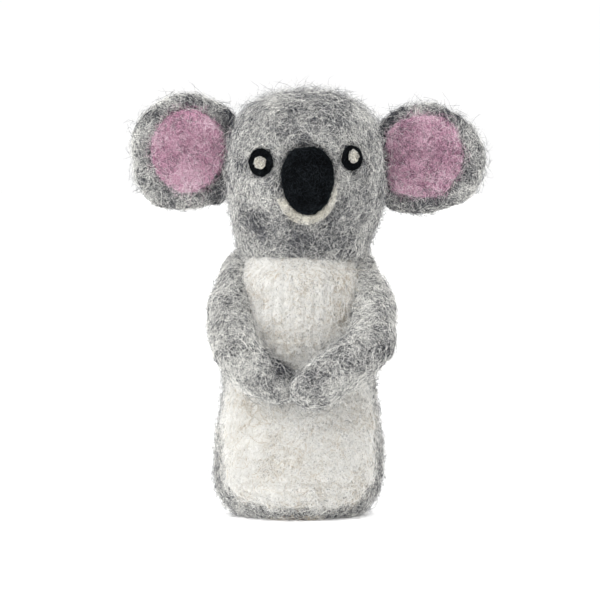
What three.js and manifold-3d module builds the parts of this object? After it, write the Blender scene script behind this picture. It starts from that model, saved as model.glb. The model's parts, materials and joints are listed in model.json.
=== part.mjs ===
// A felted-wool koala finger puppet, about 100 mm tall.
// Millimetres, +Z up. The puppet stands on its hem at Z = 0 and faces -Y.
// Left and right are the viewer's, looking at the puppet's face.
// Every piece is wool felt: it stands clear of its neighbours by a small gap, and pieces that
// move are cut back by the path of whatever they would otherwise rub on.

import * as THREE from "three";
import { mergeVertices } from "three/addons/utils/BufferGeometryUtils.js";
import Module from "manifold-3d";

const wasm = await Module();
wasm.setup();

// ---------------------------------------------------------------- driving dimensions

const GAP = 0.3; // air between two pieces that touch
const FELT = 2.4; // wall of the grey felt
const LINING = 1.4; // wall of the pocket lining

const BODY_X = -2.1; // the body stands a little to the left of the middle between the ear tips
const BODY_Y = 3.84; // and behind the middle, because the arms stand out in front
const HEAD_X = -0.45;
const HEAD_TOP = 99.6;

// Half widths of the body at each height, from the hem to inside the round shoulders.
const BODY_SIDE = [
  [12.6, 0], [16.2, 2.3], [18.4, 5.8], [19.4, 10.5], [19.3, 17], [18.3, 24],
  [17.5, 31], [16.6, 40], [15.6, 48], [14.6, 53], [12.6, 56], [9, 57.5],
];
const MOUTH_RADIUS = 10.3; // the grey hem's inner edge
const MOUTH_TOP = 4; // the hem's inner wall ends inside the pocket
const BELLOW = 2; // how far a cutter runs below the hem

// Depth of the body as a share of its width.
const DEPTH_WAIST = 0.78;
const DEPTH_EXTRA_HEM = 0.14;
const DEPTH_EXTRA_CHEST = 0.2;
const HEM_BAND = 9;
const CHEST_START = 30;
const CHEST_END = 54;

// The shoulders are a ball about the point that the head nods and turns on, so that the hollow
// under the head slides over them.
const PIVOT = new THREE.Vector3(-1.8, BODY_Y, 53);
const SHOULDER_RADIUS = 14.9;
const SHOULDER_GAP = 0.4; // air between the shoulders and the head

// Half widths of the head at each height, from the rim round its underside to the crown.
const HEAD_SIDE = [
  [13.8, 60.7], [15, 61.8], [15.5, 64], [16.4, 67.7], [17.6, 71.5], [18.15, 77],
  [17.9, 84], [16.8, 89.6], [14.9, 93.4], [11.6, 96.4], [7.8, 98.5], [3.9, 99.4], [0, HEAD_TOP],
];
const HEAD_WIDEST = 18.15;
const HEAD_DEPTH = 0.93; // depth of the head as a share of its width
const CHIN_SHIFT = -1; // the chin sits a little to the left of the face
const CHIN_TOP = 76;

// The neck tube: outer radius, bore radius and height at its lower and upper end.
const NECK_LOW = { outer: 8.9, bore: 7.3, z: 56.5 };
const NECK_HIGH = { outer: 8.2, bore: 6.9, z: 70 };
const SOCKET_TOP = 78; // the fingertip reaches here inside the head

const NOD_DEGREES = 10;
const TURN_DEGREES = 30;
const EAR_FLAP_DEGREES = 25;
const ARM_LIFT_DEGREES = 55;

const NOSE = { x: -0.1, z: 78.6, halfWidth: 6.1, halfHeight: 8.2, halfDepth: 5.6 };
const NOSE_TAPER = 0.12; // the nose narrows towards its lower end
const MUZZLE = { x: -0.3, z: 76.1, halfWidth: 6.9, halfHeight: 7.7, proud: 1.2 };
const EYE_PROUD = 1;
const GLINT_PROUD = 1.9;
const EYES = [
  {
    side: "left", x: -10.8, z: 82.6, halfWidth: 2.8, halfHeight: 3.25,
    glint: { x: -11.1, z: 82.5, halfWidth: 1.4, halfHeight: 1.45 },
  },
  {
    side: "right", x: 10, z: 83.6, halfWidth: 2.4, halfHeight: 2.9,
    glint: { x: 10.4, z: 84, halfWidth: 1.2, halfHeight: 1.6 },
  },
];

const EAR_HALF_THICKNESS = 3;
const EAR_BACK_SET = 2.6; // the ears sit a little behind the widest part of the head
const EAR_PAD_DEPTH = 1.1; // how deep the pink pad sits
const EAR_PAD_PROUD = 0.5;
const EARS = [
  {
    side: "left", x: -29.2, z: 85, halfWidth: 11.9, halfHeight: 13.4, root: -18.1,
    pad: { x: -27.6, z: 85.5, halfWidth: 8.6, halfHeight: 10 },
  },
  {
    side: "right", x: 28.9, z: 83.5, halfWidth: 12.2, halfHeight: 12.7, root: 17.3,
    pad: { x: 27.2, z: 84.2, halfWidth: 8.6, halfHeight: 9.8 },
  },
];

const ARM_RADIUS = 5.3;
const ARM_FLATNESS = 0.88; // an arm is pressed a little flat against the belly
const SHOULDER_Z = 54.4;
const SHOULDER_Y = -1.5;
// Points along the middle of each arm, from the shoulder to the paw, measured from the body's axis.
const ARMS = [
  {
    side: "left",
    path: [
      [-12.9, SHOULDER_Y, SHOULDER_Z], [-15.7, -5.8, 51], [-16.5, -10.5, 45.6], [-15.6, -14.2, 40.2],
      [-13.1, -16.9, 35.8], [-10.2, -18.2, 32.4], [-7.9, -18.6, 30.6],
    ],
  },
  {
    side: "right",
    path: [
      [13.5, SHOULDER_Y, SHOULDER_Z], [16.3, -5.8, 51.4], [17.5, -10.3, 46.2], [16.7, -14, 40.8],
      [13.4, -17, 36.4], [8.6, -19, 32.9], [4.9, -19.8, 30.3], [2.4, -19.9, 28.9],
    ],
  },
];

const PANEL_PROUD = 1.3; // the white layer stands this far out of the grey felt
const PANEL = {
  bottom: 5.4, corner: 5, hipHalfWidth: 17.4, hipZ: 15, waistHalfWidth: 16, waistZ: 33,
  topHalfWidth: 13.2, topZ: 60.5, topShift: 0.8,
};

const COLOURS = {
  grey: 0x9c9c99,
  white: 0xdddbd3,
  core: 0xc9b49a,
  black: 0x14171a,
  cream: 0xc9c7b8,
  pink: 0xb58ba0,
};

const TURN_SEGMENTS = 24; // sides of a turned piece
const PROFILE_STEPS = 16; // steps along a turned piece's outline
const MERGE_TOLERANCE = 1e-4;
const LONG = 60; // longer than any cut
const SIDEWAYS = new THREE.Vector3(1, 0, 0);
const UPRIGHT = new THREE.Vector3(0, 0, 1);

// ---------------------------------------------------------------- solids and cuts

// Makes a manifold solid of a closed three.js geometry.
function solidOf(geometry) {
  const bare = geometry.clone();
  bare.deleteAttribute("normal");
  bare.deleteAttribute("uv");
  const merged = mergeVertices(bare, MERGE_TOLERANCE);
  const corners = merged.index.array;
  const triangles = [];
  for (let i = 0; i < corners.length; i += 3) {
    const [a, b, c] = [corners[i], corners[i + 1], corners[i + 2]];
    if (a !== b && b !== c && c !== a) triangles.push(a, b, c);
  }
  return new wasm.Manifold(new wasm.Mesh({
    numProp: 3,
    vertProperties: new Float32Array(merged.attributes.position.array),
    triVerts: new Uint32Array(triangles),
  }));
}

// Makes a named mesh of a manifold solid.
function meshOf(name, solid, colour) {
  const cut = solid.getMesh();
  const geometry = new THREE.BufferGeometry();
  geometry.setAttribute("position", new THREE.BufferAttribute(new Float32Array(cut.vertProperties), 3));
  geometry.setIndex(new THREE.BufferAttribute(new Uint32Array(cut.triVerts), 1));
  geometry.computeVertexNormals();
  const material = new THREE.MeshStandardMaterial({ color: colour, roughness: 1, metalness: 0 });
  const mesh = new THREE.Mesh(geometry, material);
  mesh.name = name;
  return mesh;
}

// Turns an outline of [radius, height] points about the Z axis.
function turned(outline) {
  const points = outline.map(([radius, height]) => new THREE.Vector2(radius, height));
  return new THREE.LatheGeometry(points, TURN_SEGMENTS).rotateX(Math.PI / 2);
}

// Samples a smooth outline through [radius, height] points.
function smooth(points) {
  const spline = new THREE.SplineCurve(points.map(([radius, height]) => new THREE.Vector2(radius, height)));
  return spline.getSpacedPoints(PROFILE_STEPS).map((point) => [point.x, point.y]);
}

// Moves an outline outwards by a distance; points on the axis stay on it.
function offset(outline, distance) {
  return outline.map(([radius, height], i) => {
    const [r0, h0] = outline[Math.max(i - 1, 0)];
    const [r1, h1] = outline[Math.min(i + 1, outline.length - 1)];
    const length = Math.hypot(r1 - r0, h1 - h0);
    const out = radius + (distance * (h1 - h0)) / length;
    const up = height - (distance * (r1 - r0)) / length;
    return [radius === 0 ? 0 : Math.max(out, 0), up];
  });
}

// Moves every corner of a geometry by a function of its position.
function reshape(geometry, move) {
  const position = geometry.attributes.position;
  const corner = new THREE.Vector3();
  for (let i = 0; i < position.count; i += 1) {
    corner.fromBufferAttribute(position, i);
    move(corner);
    position.setXYZ(i, corner.x, corner.y, corner.z);
  }
  return geometry;
}

function ball(radius) {
  return solidOf(new THREE.SphereGeometry(radius, TURN_SEGMENTS, TURN_SEGMENTS / 2)
    .translate(PIVOT.x, PIVOT.y, PIVOT.z));
}

function block(low, high) {
  const size = high.map((value, i) => value - low[i]);
  const middle = high.map((value, i) => (value + low[i]) / 2);
  return solidOf(new THREE.BoxGeometry(...size).translate(...middle));
}

// An oval post along Y, from far in front of the puppet back to a depth, that cuts out a patch.
function ovalPost({ x, z, halfWidth, halfHeight }, back) {
  return solidOf(new THREE.CylinderGeometry(1, 1, LONG, TURN_SEGMENTS)
    .scale(halfWidth, 1, halfHeight)
    .translate(x, back - LONG / 2, z));
}

function rotated(solid, hinge, axis, degrees) {
  const turn = new THREE.Matrix4()
    .makeTranslation(hinge.x, hinge.y, hinge.z)
    .multiply(new THREE.Matrix4().makeRotationAxis(axis, THREE.MathUtils.degToRad(degrees)))
    .multiply(new THREE.Matrix4().makeTranslation(-hinge.x, -hinge.y, -hinge.z));
  return solid.transform(turn.elements);
}

// Everything that a solid passes through as it turns about a hinge.
function swept(solid, hinge, axis, angles) {
  const [first, ...others] = angles.map((degrees) => rotated(solid, hinge, axis, degrees));
  return others.reduce((sum, other) => sum.add(other), first);
}

// Takes away everything that a neighbour passes through as the piece turns about a hinge.
function clearedWhileTurning(piece, neighbour, hinge, axis, angles) {
  return piece.subtract(swept(neighbour, hinge, axis, angles.map((degrees) => -degrees)));
}

// Five angles from one limit of a joint to the other.
function bothWays(degrees) {
  return [-degrees, -degrees / 2, 0, degrees / 2, degrees];
}

// ---------------------------------------------------------------- body

function depthShare(height) {
  const hem = 1 - THREE.MathUtils.smoothstep(height, 0, HEM_BAND);
  const chest = THREE.MathUtils.smoothstep(height, CHEST_START, CHEST_END);
  return DEPTH_WAIST + DEPTH_EXTRA_HEM * hem + DEPTH_EXTRA_CHEST * chest;
}

// Gives a turned body its oval section and puts it in its place.
function bodyShaped(geometry) {
  reshape(geometry, (corner) => {
    corner.y *= depthShare(corner.z);
  });
  return solidOf(geometry.translate(BODY_X, BODY_Y, 0));
}

// The body with its round shoulders as a closed solid, grown outwards by a distance.
function bodySolid(distance) {
  const side = offset(smooth(BODY_SIDE), distance);
  const [, top] = side[side.length - 1];
  const trunk = bodyShaped(turned([[0, side[0][1]], ...side, [0, top]]));
  return trunk.add(ball(SHOULDER_RADIUS + distance));
}

// The space inside a body wall of the given thickness, open through the hem.
function pocketSolid(wall, mouthRadius) {
  const mouth = [[0, -BELLOW], [mouthRadius, -BELLOW], [mouthRadius, MOUTH_TOP], [0, MOUTH_TOP]];
  return bodySolid(-wall).add(bodyShaped(turned(mouth)));
}

function makeBody(neckSweep, headSweep) {
  const aboveHem = block([-LONG, -LONG, 0], [LONG, LONG, HEAD_TOP]);
  const liningWall = FELT + GAP;
  const shell = bodySolid(0)
    .intersect(aboveHem)
    .subtract(pocketSolid(FELT, MOUTH_RADIUS))
    .subtract(neckSweep)
    .subtract(headSweep);
  const lining = pocketSolid(liningWall, MOUTH_RADIUS - GAP)
    .subtract(pocketSolid(liningWall + LINING, MOUTH_RADIUS - GAP - LINING))
    .intersect(aboveHem)
    .subtract(neckSweep);
  return [
    meshOf("body_shell", shell, COLOURS.grey),
    meshOf("pocket_lining", lining, COLOURS.core),
  ];
}

// The white layer's outline, seen from the front and measured from the body's axis.
function panelOutline() {
  const { bottom, corner, hipHalfWidth, hipZ, waistHalfWidth, waistZ } = PANEL;
  const { topHalfWidth, topZ, topShift } = PANEL;
  const outline = new THREE.Shape();
  outline.moveTo(-hipHalfWidth + corner, bottom);
  outline.lineTo(hipHalfWidth - corner, bottom);
  outline.quadraticCurveTo(hipHalfWidth, bottom, hipHalfWidth, hipZ);
  outline.quadraticCurveTo(hipHalfWidth, waistZ / 2 + hipZ / 2, waistHalfWidth, waistZ);
  outline.lineTo(topHalfWidth + topShift, topZ);
  outline.lineTo(-topHalfWidth + topShift, topZ);
  outline.lineTo(-waistHalfWidth, waistZ);
  outline.quadraticCurveTo(-hipHalfWidth, waistZ / 2 + hipZ / 2, -hipHalfWidth, hipZ);
  outline.quadraticCurveTo(-hipHalfWidth, bottom, -hipHalfWidth + corner, bottom);
  return outline;
}

function makePanel(headSweep) {
  const post = new THREE.ExtrudeGeometry(panelOutline(), { depth: LONG, bevelEnabled: false })
    .rotateX(Math.PI / 2)
    .translate(BODY_X, BODY_Y, 0);
  const skin = bodySolid(PANEL_PROUD).subtract(bodySolid(GAP));
  return meshOf("belly_panel", skin.intersect(solidOf(post)).subtract(headSweep), COLOURS.white);
}

// ---------------------------------------------------------------- neck and head

function onPivot(geometry) {
  return solidOf(geometry.translate(PIVOT.x, PIVOT.y, 0));
}

// The room that the neck tube takes up, grown by a distance.
function neckRoom(distance) {
  return onPivot(turned([
    [0, NECK_LOW.z - distance], [NECK_LOW.outer + distance, NECK_LOW.z - distance],
    [NECK_HIGH.outer + distance, NECK_HIGH.z + distance], [0, NECK_HIGH.z + distance],
  ]));
}

function makeNeck() {
  const tube = turned([
    [NECK_LOW.bore, NECK_LOW.z], [NECK_LOW.outer, NECK_LOW.z],
    [NECK_HIGH.outer, NECK_HIGH.z], [NECK_HIGH.bore, NECK_HIGH.z],
    [NECK_LOW.bore, NECK_LOW.z],
  ]);
  return meshOf("neck_sleeve", onPivot(tube), COLOURS.grey);
}

// The head as a closed solid, grown outwards by a distance.
function headSolid(distance) {
  const side = offset(smooth(HEAD_SIDE), distance);
  const head = turned([[0, side[0][1]], ...side]).scale(1, HEAD_DEPTH, 1);
  reshape(head, (corner) => {
    corner.x += CHIN_SHIFT * (1 - THREE.MathUtils.smoothstep(corner.z, PIVOT.z, CHIN_TOP));
  });
  return solidOf(head.translate(HEAD_X, BODY_Y, 0));
}

// The round-ended hollow that the fingertip sits in.
function fingerSocket() {
  const radius = NECK_HIGH.bore;
  const outline = [[0, NECK_HIGH.z], [radius, NECK_HIGH.z]];
  const steps = 6;
  for (let i = 0; i <= steps; i += 1) {
    const angle = (i / steps) * (Math.PI / 2);
    const round = SOCKET_TOP - radius + radius * Math.sin(angle);
    outline.push([i === steps ? 0 : radius * Math.cos(angle), round]);
  }
  return onPivot(turned(outline));
}

function makeHead() {
  const shoulderRoom = ball(SHOULDER_RADIUS + SHOULDER_GAP);
  const cover = headSolid(0).subtract(headSolid(-FELT)).subtract(shoulderRoom);
  const core = headSolid(-FELT - GAP)
    .subtract(shoulderRoom)
    .subtract(neckRoom(GAP))
    .subtract(fingerSocket());
  return [
    meshOf("head_cover", cover, COLOURS.grey),
    meshOf("head_core", core, COLOURS.core),
  ];
}

// A patch of felt on the head's skin, between two distances out from it.
function headPatch(oval, inner, outer) {
  return headSolid(outer).subtract(headSolid(inner)).intersect(ovalPost(oval, BODY_Y));
}

function makeNose() {
  const { x, z, halfWidth, halfHeight, halfDepth } = NOSE;
  const front = BODY_Y - HEAD_WIDEST * HEAD_DEPTH;
  const egg = new THREE.SphereGeometry(1, TURN_SEGMENTS, TURN_SEGMENTS / 2);
  reshape(egg, (corner) => {
    corner.set(corner.x * (1 + NOSE_TAPER * corner.y), corner.y, corner.z);
  });
  egg.rotateX(Math.PI / 2)
    .scale(halfWidth, halfDepth, halfHeight)
    .translate(x, front, z);
  const seat = headSolid(MUZZLE.proud + GAP);
  return meshOf("nose", solidOf(egg).subtract(seat), COLOURS.black);
}

function makeFace() {
  const pieces = [
    meshOf("muzzle_patch", headPatch(MUZZLE, GAP, MUZZLE.proud), COLOURS.cream),
    makeNose(),
  ];
  for (const eye of EYES) {
    const disc = headPatch(eye, GAP, EYE_PROUD);
    const dot = headPatch(eye.glint, EYE_PROUD + GAP, GLINT_PROUD);
    pieces.push(meshOf(`${eye.side}_eye`, disc, COLOURS.black));
    pieces.push(meshOf(`${eye.side}_eye_glint`, dot, COLOURS.cream));
  }
  return pieces;
}

// ---------------------------------------------------------------- ears

// A disc with a fully round edge, facing along Y.
function roundDisc({ x, z, halfWidth, halfHeight }, halfThickness, y) {
  const flat = halfWidth - halfThickness;
  const outline = [[0, -halfThickness]];
  const steps = 8;
  for (let i = 0; i <= steps; i += 1) {
    const angle = (i / steps - 0.5) * Math.PI;
    outline.push([flat + halfThickness * Math.cos(angle), halfThickness * Math.sin(angle)]);
  }
  outline.push([0, halfThickness]);
  return solidOf(turned(outline)
    .scale(1, halfHeight / halfWidth, 1)
    .rotateX(Math.PI / 2)
    .translate(x, y, z));
}

function makeEars() {
  const headRoom = headSolid(GAP);
  const angles = bothWays(EAR_FLAP_DEGREES);
  const y = BODY_Y + EAR_BACK_SET;
  const front = y - EAR_HALF_THICKNESS;
  return EARS.flatMap((ear) => {
    const hinge = new THREE.Vector3(ear.root, y, 0);
    const { pad } = ear;
    const recess = {
      x: pad.x, z: pad.z, halfWidth: pad.halfWidth + GAP, halfHeight: pad.halfHeight + GAP,
    };
    const cutter = ovalPost(recess, front + EAR_PAD_DEPTH);
    const padHalf = (EAR_PAD_DEPTH - GAP + EAR_PAD_PROUD) / 2;
    const padDisc = roundDisc(pad, padHalf, front + EAR_PAD_DEPTH - GAP - padHalf);
    const disc = roundDisc(ear, EAR_HALF_THICKNESS, y).subtract(cutter);
    const cleared = (piece) => clearedWhileTurning(piece, headRoom, hinge, UPRIGHT, angles);
    return [
      meshOf(`${ear.side}_ear`, cleared(disc), COLOURS.grey),
      meshOf(`${ear.side}_ear_lining`, cleared(padDisc), COLOURS.pink),
    ];
  });
}

// ---------------------------------------------------------------- arms

// A felt rope with rounded ends along a smooth path.
function rope(path) {
  const points = path.map(([x, y, z]) => new THREE.Vector3(x + BODY_X, y + BODY_Y, z));
  const section = new THREE.Shape();
  section.absellipse(0, 0, ARM_RADIUS, ARM_RADIUS * ARM_FLATNESS, 0, Math.PI * 2);
  const tube = new THREE.ExtrudeGeometry(section, {
    steps: 12,
    curveSegments: 4,
    extrudePath: new THREE.CatmullRomCurve3(points),
  });
  let result = solidOf(tube);
  for (const end of [points[0], points[points.length - 1]]) {
    const cap = new THREE.SphereGeometry(ARM_RADIUS, 16, 10)
      .scale(1, ARM_FLATNESS, 1)
      .translate(end.x, end.y, end.z);
    result = result.add(solidOf(cap));
  }
  return result;
}

function makeArms(headSweep) {
  const inTheWay = bodySolid(PANEL_PROUD + GAP).add(headSweep);
  const hinge = new THREE.Vector3(0, SHOULDER_Y + BODY_Y, SHOULDER_Z);
  const lifts = [0, -ARM_LIFT_DEGREES / 2, -ARM_LIFT_DEGREES];
  return ARMS.map(({ side, path }) => {
    const arm = clearedWhileTurning(rope(path), inTheWay, hinge, SIDEWAYS, lifts);
    return meshOf(`${side}_arm`, arm, COLOURS.grey);
  });
}

// ---------------------------------------------------------------- the puppet

const nods = bothWays(NOD_DEGREES);
const neckSweep = swept(neckRoom(GAP), PIVOT, SIDEWAYS, nods);
const turnedHead = swept(headSolid(GAP), PIVOT, UPRIGHT, bothWays(TURN_DEGREES));
const headSweep = swept(turnedHead, PIVOT, SIDEWAYS, nods).subtract(ball(SHOULDER_RADIUS + GAP / 2));

const group = new THREE.Group();
group.add(
  ...makeBody(neckSweep, headSweep),
  makePanel(headSweep),
  makeNeck(),
  ...makeHead(),
  ...makeFace(),
  ...makeEars(),
  ...makeArms(headSweep),
);

export default group;
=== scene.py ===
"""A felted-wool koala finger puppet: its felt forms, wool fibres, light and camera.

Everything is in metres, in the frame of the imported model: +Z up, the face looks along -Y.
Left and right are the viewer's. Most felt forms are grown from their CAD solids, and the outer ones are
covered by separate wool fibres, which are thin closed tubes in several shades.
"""

import json
import math

import bmesh
import bpy
import numpy as np
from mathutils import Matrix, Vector, noise
from mathutils.bvhtree import BVHTree


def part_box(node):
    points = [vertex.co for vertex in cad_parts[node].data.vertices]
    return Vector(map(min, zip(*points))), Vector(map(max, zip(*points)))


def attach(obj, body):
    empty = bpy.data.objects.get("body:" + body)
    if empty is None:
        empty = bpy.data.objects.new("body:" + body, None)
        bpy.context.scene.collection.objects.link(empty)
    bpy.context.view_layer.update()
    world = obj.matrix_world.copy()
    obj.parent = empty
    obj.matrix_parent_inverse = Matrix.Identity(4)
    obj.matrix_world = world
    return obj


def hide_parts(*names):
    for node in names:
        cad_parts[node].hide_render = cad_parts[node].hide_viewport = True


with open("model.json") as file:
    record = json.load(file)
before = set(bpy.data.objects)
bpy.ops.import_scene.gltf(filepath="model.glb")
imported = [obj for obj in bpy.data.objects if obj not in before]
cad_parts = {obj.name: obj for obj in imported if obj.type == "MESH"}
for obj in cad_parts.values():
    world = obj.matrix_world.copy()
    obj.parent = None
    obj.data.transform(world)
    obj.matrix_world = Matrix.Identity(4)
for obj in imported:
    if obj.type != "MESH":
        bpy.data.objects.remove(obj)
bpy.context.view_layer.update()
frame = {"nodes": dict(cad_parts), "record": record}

MM = 0.001
NOISE_SEED = 7
noise.seed_set(NOISE_SEED)  # without this, the noise that steers the fibres changes from run to run

# ---------------------------------------------------------------- places taken from the frame


def middle(node):
    low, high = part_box(node)
    return (low + high) / 2


def hinge(joint):
    rows = frame["record"]["behaviour"]["joints"]
    return Vector(next(row["pos_m"] for row in rows if row["name"] == joint))


def within(node, shares):
    """A point given as shares of a node's box: across, back and up."""
    low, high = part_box(node)
    return Vector([low[i] + (high[i] - low[i]) * shares[i] for i in range(3)])


HEAD_MIDDLE = middle("head_cover")
BODY_MIDDLE = middle("body_shell")
PIVOT = hinge("head_nod")
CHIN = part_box("head_cover")[0].z
TINY = 1e-12  # keeps divisions by a length safe

# ---------------------------------------------------------------- materials

ROUGHNESS = 0.95
SHEEN = 0.25
SHEEN_ROUGHNESS = 0.5
SPECULAR = 0.15
GRAIN_SCALE = 4200  # the felt's fine grain, finer as it grows
GRAIN_DETAIL = 4
GRAIN_ROUGHNESS = 0.7
GRAIN_DISTORTION = 1.5
MOTTLE_SCALE = 260  # its broader patches
MOTTLE_DETAIL = 3
MOTTLE_SHARE = 0.5  # how much the patches count beside the grain
SPREAD_HALF = 0.25  # a smaller number gives more contrast
BUMP_STRENGTH = 0.7
BUMP_HEIGHT = 0.25


def principled(name, colour, sheen=SHEEN, specular=SPECULAR):
    """A plain wool shade: one colour, dull, with a little sheen."""
    material = bpy.data.materials.new(name)
    material.use_nodes = True
    shader = material.node_tree.nodes["Principled BSDF"]
    shader.inputs["Base Color"].default_value = (*colour, 1)
    shader.inputs["Roughness"].default_value = ROUGHNESS
    shader.inputs["Specular IOR Level"].default_value = specular
    shader.inputs["Sheen Weight"].default_value = sheen
    shader.inputs["Sheen Roughness"].default_value = SHEEN_ROUGHNESS
    return material


def felt_material(name, dark, light, sheen=SHEEN, specular=SPECULAR):
    """Matted wool: fine heathered grain between two shades, with broader mottled patches."""
    material = principled(name, light, sheen=sheen, specular=specular)
    nodes, links = material.node_tree.nodes, material.node_tree.links
    shader = nodes["Principled BSDF"]
    place = nodes.new("ShaderNodeTexCoord")
    fine = nodes.new("ShaderNodeTexNoise")
    fine.inputs["Scale"].default_value = GRAIN_SCALE
    fine.inputs["Detail"].default_value = GRAIN_DETAIL
    fine.inputs["Roughness"].default_value = GRAIN_ROUGHNESS
    fine.inputs["Distortion"].default_value = GRAIN_DISTORTION
    broad = nodes.new("ShaderNodeTexNoise")
    broad.inputs["Scale"].default_value = MOTTLE_SCALE
    broad.inputs["Detail"].default_value = MOTTLE_DETAIL
    mixed = nodes.new("ShaderNodeMath")
    mixed.operation = "MULTIPLY_ADD"
    mixed.inputs[1].default_value = MOTTLE_SHARE
    spread = nodes.new("ShaderNodeMapRange")
    middle_value = 0.5 * MOTTLE_SHARE + 0.5
    spread.inputs["From Min"].default_value = middle_value - SPREAD_HALF
    spread.inputs["From Max"].default_value = middle_value + SPREAD_HALF
    colour = nodes.new("ShaderNodeMix")
    colour.data_type = "RGBA"
    colour.inputs["A"].default_value = (*dark, 1)
    colour.inputs["B"].default_value = (*light, 1)
    bump = nodes.new("ShaderNodeBump")
    bump.inputs["Strength"].default_value = BUMP_STRENGTH
    bump.inputs["Distance"].default_value = BUMP_HEIGHT * MM
    for texture in (fine, broad):
        links.new(place.outputs["Object"], texture.inputs["Vector"])
    links.new(broad.outputs["Fac"], mixed.inputs[0])
    links.new(fine.outputs["Fac"], mixed.inputs[2])
    links.new(mixed.outputs["Value"], spread.inputs["Value"])
    links.new(spread.outputs["Result"], colour.inputs["Factor"])
    links.new(colour.outputs["Result"], shader.inputs["Base Color"])
    links.new(fine.outputs["Fac"], bump.inputs["Height"])
    links.new(bump.outputs["Normal"], shader.inputs["Normal"])
    return material


FELT = {
    "grey_wool": felt_material("grey_felt", (0.02, 0.02, 0.024), (0.30, 0.30, 0.295)),
    "white_wool": felt_material("white_felt", (0.70, 0.68, 0.62), (0.95, 0.94, 0.91)),
    "core_wool": felt_material("core_felt", (0.35, 0.26, 0.18), (0.62, 0.51, 0.39)),
    "black_wool": felt_material(
        "black_felt", (0.001, 0.0012, 0.0015), (0.005, 0.006, 0.007), sheen=0, specular=0.03,
    ),
    "cream_wool": felt_material("cream_felt", (0.40, 0.38, 0.32), (0.74, 0.72, 0.64)),
    "pink_wool": felt_material("pink_felt", (0.30, 0.13, 0.20), (0.72, 0.44, 0.56)),
}


def shades(prefix, colours, sheen=SHEEN, specular=SPECULAR):
    """Plain fibre shades, from the lightest to the darkest."""
    return [principled(f"{prefix}_{i}", colour, sheen=sheen, specular=specular)
            for i, colour in enumerate(colours)]


SHADES = {
    "grey_wool": shades("grey_fibre", [
        (0.98, 0.97, 0.925), (0.75, 0.745, 0.715), (0.38, 0.38, 0.378), (0.10, 0.104, 0.124),
        (0.016, 0.018, 0.028),
    ]),
    "white_wool": shades("white_fibre", [
        (0.98, 0.975, 0.95), (0.95, 0.94, 0.90), (0.86, 0.84, 0.78), (0.62, 0.54, 0.43), (0.20, 0.19, 0.18),
    ]),
    "core_wool": shades("core_fibre", [(0.72, 0.62, 0.48), (0.58, 0.46, 0.33), (0.36, 0.27, 0.19)]),
    "black_wool": shades("black_fibre", [
        (0.030, 0.036, 0.042), (0.011, 0.014, 0.017), (0.003, 0.0035, 0.004),
    ], sheen=0, specular=0.05),
    "cream_wool": shades("cream_fibre", [
        (0.92, 0.90, 0.84), (0.80, 0.77, 0.69), (0.58, 0.55, 0.46), (0.30, 0.28, 0.25),
    ]),
    "pink_wool": shades("pink_fibre", [
        (0.92, 0.76, 0.83), (0.80, 0.52, 0.65), (0.62, 0.31, 0.45), (0.34, 0.14, 0.23), (0.10, 0.05, 0.08),
    ]),
}

# ---------------------------------------------------------------- felt forms

# How finely each form is remeshed, in millimetres, and how many times it is smoothed.
FORMS = {
    "body": (0.6, 8), "pocket": (0.75, 4), "neck": (0.5, 4), "head_core": (0.6, 6), "head": (0.5, 8),
    "muzzle": (0.25, 6), "nose": (0.25, 6), "eye": (0.15, 4), "glint": (0.1, 6), "ear": (0.4, 12),
    "pad": (0.3, 8),
}
# The size and height of each form's lumps in millimetres, and the seed of their noise.
LUMPS = {
    "body": (7, 0.5, 1), "belly": (5, 0.3, 2), "head": (8, 0.5, 3), "nose": (3, 0.2, 4), "ear": (6, 0.6, 5),
    "pad": (4, 0.4, 7), "arm": (6, 0.6, 9), "glint": (1.2, 0.3, 30),
}
WELD = 0.01  # points of a CAD solid closer than this become one
SMOOTHING = 0.5
ROUGH_LAYERS = 3  # of noise in the lumps
LUMP_SHIFT = (3.7, 1.3, 7.1)
FLOW_SHIFT = (5.1, 2.3, 1)


def link(name, mesh):
    piece = bpy.data.objects.new(name, mesh)
    bpy.context.scene.collection.objects.link(piece)
    return piece


def applied(piece):
    """Applies every modifier on the piece, so that only its mesh is left."""
    graph = bpy.context.evaluated_depsgraph_get()
    mesh = bpy.data.meshes.new_from_object(piece.evaluated_get(graph))
    old = piece.data
    piece.modifiers.clear()
    piece.data = mesh
    bpy.data.meshes.remove(old)
    return piece


def corners(piece):
    """The piece's points and their normals, as arrays."""
    count = len(piece.data.vertices)
    points, normals = np.empty(count * 3), np.empty(count * 3)
    piece.data.vertices.foreach_get("co", points)
    piece.data.vertices.foreach_get("normal", normals)
    return points.reshape(-1, 3), normals.reshape(-1, 3)


def move_to(piece, points):
    piece.data.vertices.foreach_set("co", np.ascontiguousarray(points, np.float32).ravel())
    piece.data.update()


def softened(name, node, voxel, rounds):
    """A soft closed form grown from a CAD solid: remeshed evenly and smoothed."""
    mesh = bmesh.new()
    mesh.from_mesh(frame["nodes"][node].data)
    bmesh.ops.remove_doubles(mesh, verts=mesh.verts, dist=WELD * MM)
    data = bpy.data.meshes.new(name)
    mesh.to_mesh(data)
    mesh.free()
    piece = link(name, data)
    remesh = piece.modifiers.new("remesh", "REMESH")
    remesh.mode = "VOXEL"
    remesh.voxel_size = voxel * MM
    smooth = piece.modifiers.new("smooth", "SMOOTH")
    smooth.factor = SMOOTHING
    smooth.iterations = rounds
    return applied(piece)


def swollen(piece, distance):
    points, normals = corners(piece)
    move_to(piece, points + normals * distance * MM)


def pushed(piece, spot, reach, move):
    """Moves the surface near a spot by a vector in millimetres, fading out over a reach."""
    points, _ = corners(piece)
    far = np.linalg.norm(points - np.array(spot), axis=1) / (reach * MM)
    points += np.exp(-far ** 2)[:, None] * np.array(move) * MM
    move_to(piece, points)


def bulged(piece, node, rows):
    """Moves the surface near several spots: rows of shares of the node's box, reach and move."""
    for shares, reach, move in rows:
        pushed(piece, within(node, shares), reach, move)


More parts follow.
